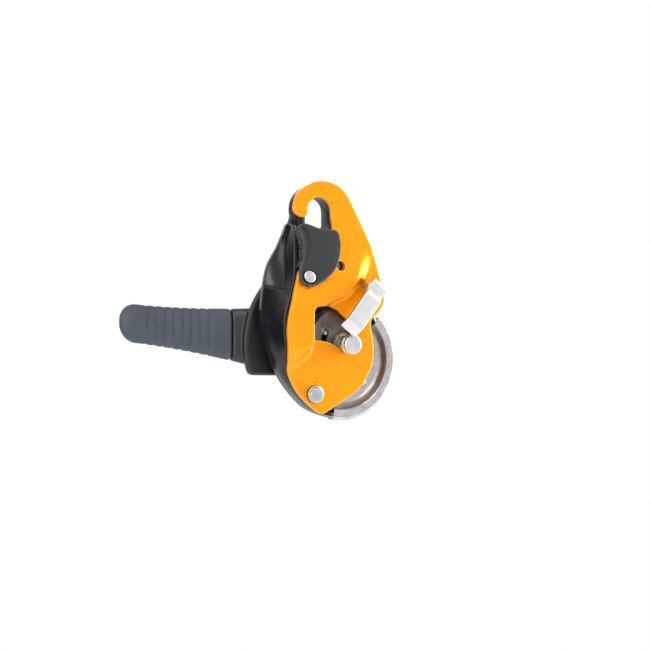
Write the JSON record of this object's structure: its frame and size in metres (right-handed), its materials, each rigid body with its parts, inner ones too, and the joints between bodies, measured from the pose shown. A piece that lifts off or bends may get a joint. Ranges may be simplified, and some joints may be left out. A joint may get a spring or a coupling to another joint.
{
  "type": "rope descender pulley",
  "caption": "Self-braking rope descender: swinging side plate with gate and auxiliary brake, cam, friction rim and lever handle on a main axle.",
  "frame": {"origin": "centre of the attachment eye", "axes": "+Z from the main axle up to the eye and beyond, +Y from the front side plate to the handle, +X to the right seen from the front"},
  "size_m": [0.1709, 0.0779, 0.1505],
  "materials": {
    "black_alloy": "black anodised forged aluminium, satin",
    "black_plastic": "moulded black nylon, satin to gloss",
    "stainless": "stainless pressing, satin",
    "steel": "turned steel, satin",
    "cam_steel": "cast stainless cam, satin",
    "spring_steel": "spring wire",
    "bronze": "sintered bronze",
    "yellow_paint": "glossy yellow-orange coating on pressed aluminium",
    "gate_plastic": "charcoal nylon, matt",
    "grip_plastic": "blue-grey moulded grip, matt",
    "button_plastic": "moulded red-orange plastic"
  },
  "bodies": {
    "body": {"rear_side_plate": "black_alloy", "side_guard": "black_plastic", "friction_plate": "stainless", "main_axle": "steel", "plate_pivot_axle": "steel", "locking_stud": "steel", "cam_stop_pin": "steel", "catch_pin": "steel", "catch_spring": "spring_steel", "cam_spring": "spring_steel", "axle_washer": "steel", "retaining_ring": "spring_steel", "guard_screw_1": "steel", "guard_screw_2": "steel", "guard_screw_3": "steel", "guard_screw_4": "steel", "friction_rivet_1": "steel", "friction_rivet_2": "steel", "friction_rivet_3": "steel"},
    "front_plate": {"front_side_plate": "yellow_paint", "pivot_bush": "bronze", "auxiliary_brake": "stainless", "brake_screw_1": "steel", "brake_screw_2": "steel", "gate_rivet": "steel", "gate_spring": "spring_steel"},
    "gate_body": {"gate": "gate_plastic"},
    "cam_body": {"cam": "cam_steel", "cam_bush": "bronze"},
    "catch_body": {"anti_error_catch": "stainless"},
    "handle": {"handle_hub": "steel", "handle_lever": "black_plastic", "handle_grip": "grip_plastic", "handle_screw_1": "steel", "handle_screw_2": "steel", "button_spring": "spring_steel"},
    "button": {"release_button": "button_plastic"}
  },
  "joints": [
    {"name": "side_plate_swing", "type": "hinge", "parent": "body", "child": "front_plate", "pos_m": [-0.0061, 0, -0.1156], "axis": [0, 1, 0], "range_deg": [0, 28]},
    {"name": "gate_pivot", "type": "hinge", "parent": "front_plate", "child": "gate_body", "pos_m": [-0.0142, -0.0168, -0.0437], "axis": [0, 0.9724, -0.2334], "range_deg": [0, 26], "stiffness_Nm_per_rad": 0.03, "springref_deg": -28.65},
    {"name": "cam_pivot", "type": "hinge", "parent": "body", "child": "cam_body", "pos_m": [0.0163, 0, -0.0847], "axis": [0, 1, 0], "range_deg": [0, 20], "stiffness_Nm_per_rad": 0.15, "springref_deg": -22.92},
    {"name": "catch_pivot", "type": "hinge", "parent": "body", "child": "catch_body", "pos_m": [-0.007, 0, -0.05], "axis": [0, 1, 0], "range_deg": [0, 20], "stiffness_Nm_per_rad": 0.02, "springref_deg": -22.92},
    {"name": "handle_turn", "type": "hinge", "parent": "body", "child": "handle", "pos_m": [0.0163, 0, -0.0847], "axis": [0, 1, 0], "range_deg": [-35, 85]},
    {"name": "button_press", "type": "slide", "parent": "handle", "child": "button", "axis": [0, -1, 0], "range_m": [0, 0.002], "stiffness_N_per_m": 500, "springref_m": -0.002, "deforming": ["button_spring"]}
  ]
}
